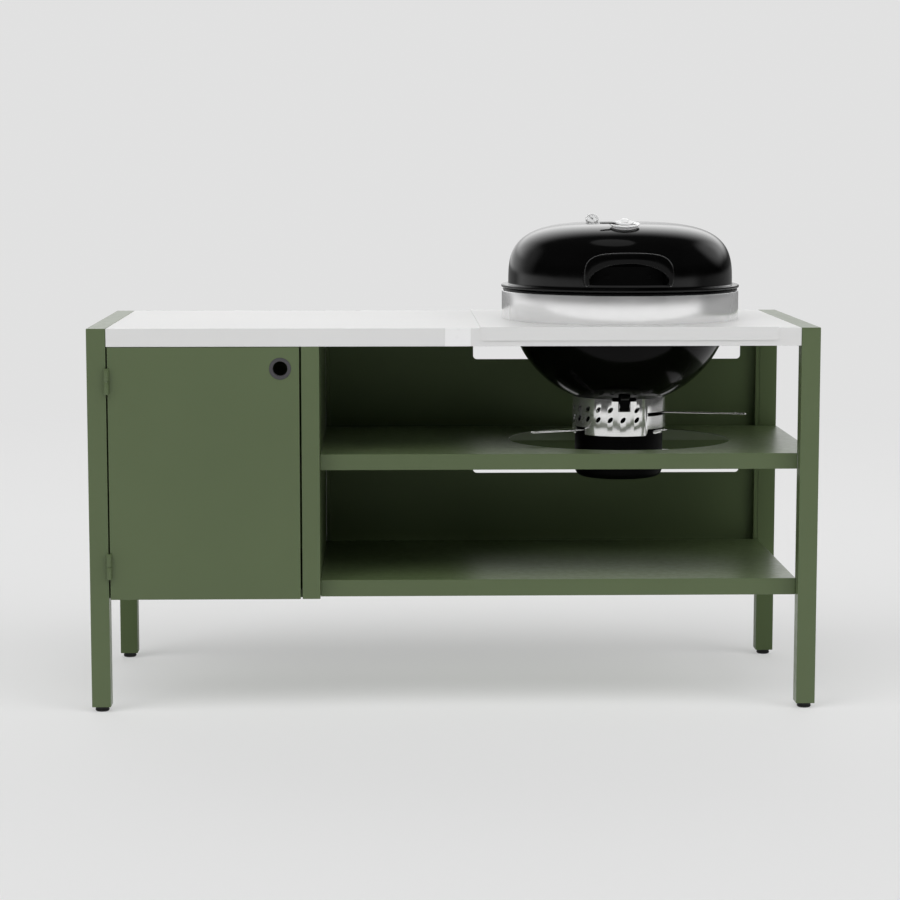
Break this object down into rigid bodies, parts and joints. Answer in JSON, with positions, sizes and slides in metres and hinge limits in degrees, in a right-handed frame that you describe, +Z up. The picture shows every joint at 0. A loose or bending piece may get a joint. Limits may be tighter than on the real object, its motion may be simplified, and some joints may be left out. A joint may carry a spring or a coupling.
{
  "type": "kettle charcoal grill station",
  "caption": "Outdoor kitchen bench with a lidded kettle charcoal grill set into its worktop, a cupboard with a hinged door, open shelves and an ash catcher.",
  "frame": {"origin": "on the floor, at the middle of the object's bounding box in plan", "axes": "+X towards the kettle end along the bench, +Y from the door side to the back panel, +Z up"},
  "size_m": [1.7, 0.698, 1.1556],
  "materials": {
    "green_powder_coat": "matt fine-textured powder coat, moss green",
    "white_powder_coat": "satin white powder coat",
    "black_enamel": "glossy porcelain enamel on steel",
    "satin_aluminium": "satin",
    "bright_steel": "brushed or plated",
    "matt_black_coat": "heat-proof matt black",
    "black_plastic": "glass-filled nylon, semi-gloss",
    "grey_plastic": "satin dark grey",
    "black_rubber": "matt",
    "clear_glass": "clear"
  },
  "bodies": {
    "bench": {"ash_skirt": "bright_steel", "back_left_foot": "black_rubber", "back_left_leg": "green_powder_coat", "back_right_foot": "black_rubber", "back_right_leg": "green_powder_coat", "bay_back_panel": "green_powder_coat", "blank_plate": "white_powder_coat", "cabinet_back_panel": "green_powder_coat", "cabinet_floor": "green_powder_coat", "cabinet_side_panel": "green_powder_coat", "charcoal_grate": "bright_steel", "charcoal_grate_tab_1": "bright_steel", "charcoal_grate_tab_2": "bright_steel", "charcoal_grate_tab_3": "bright_steel", "cooking_grate": "bright_steel", "cooking_grate_tab_1": "bright_steel", "cooking_grate_tab_2": "bright_steel", "cooking_grate_tab_3": "bright_steel", "door_magnet": "black_rubber", "front_left_foot": "black_rubber", "front_left_leg": "green_powder_coat", "front_right_foot": "black_rubber", "front_right_leg": "green_powder_coat", "kettle_bowl": "black_enamel", "kettle_collar": "satin_aluminium", "left_top_rail": "green_powder_coat", "lower_hinge_frame_half": "green_powder_coat", "lower_hinge_pin": "bright_steel", "lower_shelf": "green_powder_coat", "middle_shelf": "green_powder_coat", "partition_panel": "green_powder_coat", "right_top_rail": "green_powder_coat", "saddle_plate": "white_powder_coat", "skirt_clip_1": "matt_black_coat", "skirt_clip_2": "matt_black_coat", "skirt_clip_3": "matt_black_coat", "sweep_bush": "bright_steel", "upper_hinge_frame_half": "green_powder_coat", "upper_hinge_pin": "bright_steel", "worktop": "white_powder_coat"},
    "door": {"cabinet_door": "green_powder_coat", "finger_pull": "grey_plastic", "lower_hinge_door_half": "green_powder_coat", "upper_hinge_door_half": "green_powder_coat"},
    "sweep": {"sweep_shaft": "bright_steel", "sweep_blades": "bright_steel", "sweep_lever": "bright_steel"},
    "ash_catcher": {"ash_pan": "matt_black_coat", "ash_pan_handle": "bright_steel", "ash_pan_latch": "bright_steel"},
    "lid": {"lid_shell": "black_enamel", "lid_handle": "black_plastic", "handle_heat_shield": "matt_black_coat", "vent_base": "satin_aluminium", "vent_hub": "satin_aluminium", "thermometer_case": "bright_steel", "thermometer_glass": "clear_glass"},
    "lid_damper": {"vent_disc": "satin_aluminium", "vent_tab": "black_plastic"},
    "dial_needle": {"thermometer_needle": "matt_black_coat"}
  },
  "joints": [
    {"name": "door_hinge", "type": "hinge", "parent": "bench", "child": "door", "pos_m": [-0.80425, -0.343, 0.5635], "axis": [0, 0, -1], "range_deg": [0, 170]},
    {"name": "lid_lift", "type": "slide", "parent": "bench", "child": "lid", "axis": [0, 0, 1], "range_m": [0, 0.3]},
    {"name": "lid_damper_turn", "type": "hinge", "parent": "lid", "child": "lid_damper", "pos_m": [0.40903, -0.15394, 1.12848], "axis": [-0.0049, -0.1752, 0.9845], "range_deg": [0, 60]},
    {"name": "dial_needle_turn", "type": "hinge", "parent": "lid", "child": "dial_needle", "pos_m": [0.34436, 0.00193, 1.146], "axis": [-0.0168, -0.5998, 0.8], "range_deg": [-240, 30]},
    {"name": "sweep_turn", "type": "hinge", "parent": "bench", "child": "sweep", "pos_m": [0.4135, 0.006, 0.6715], "axis": [0, 0, 1], "range_deg": [-35, 25]},
    {"name": "ash_pan_drop", "type": "slide", "parent": "bench", "child": "ash_catcher", "axis": [0, 0, -1], "range_m": [0, 0.16]}
  ]
}
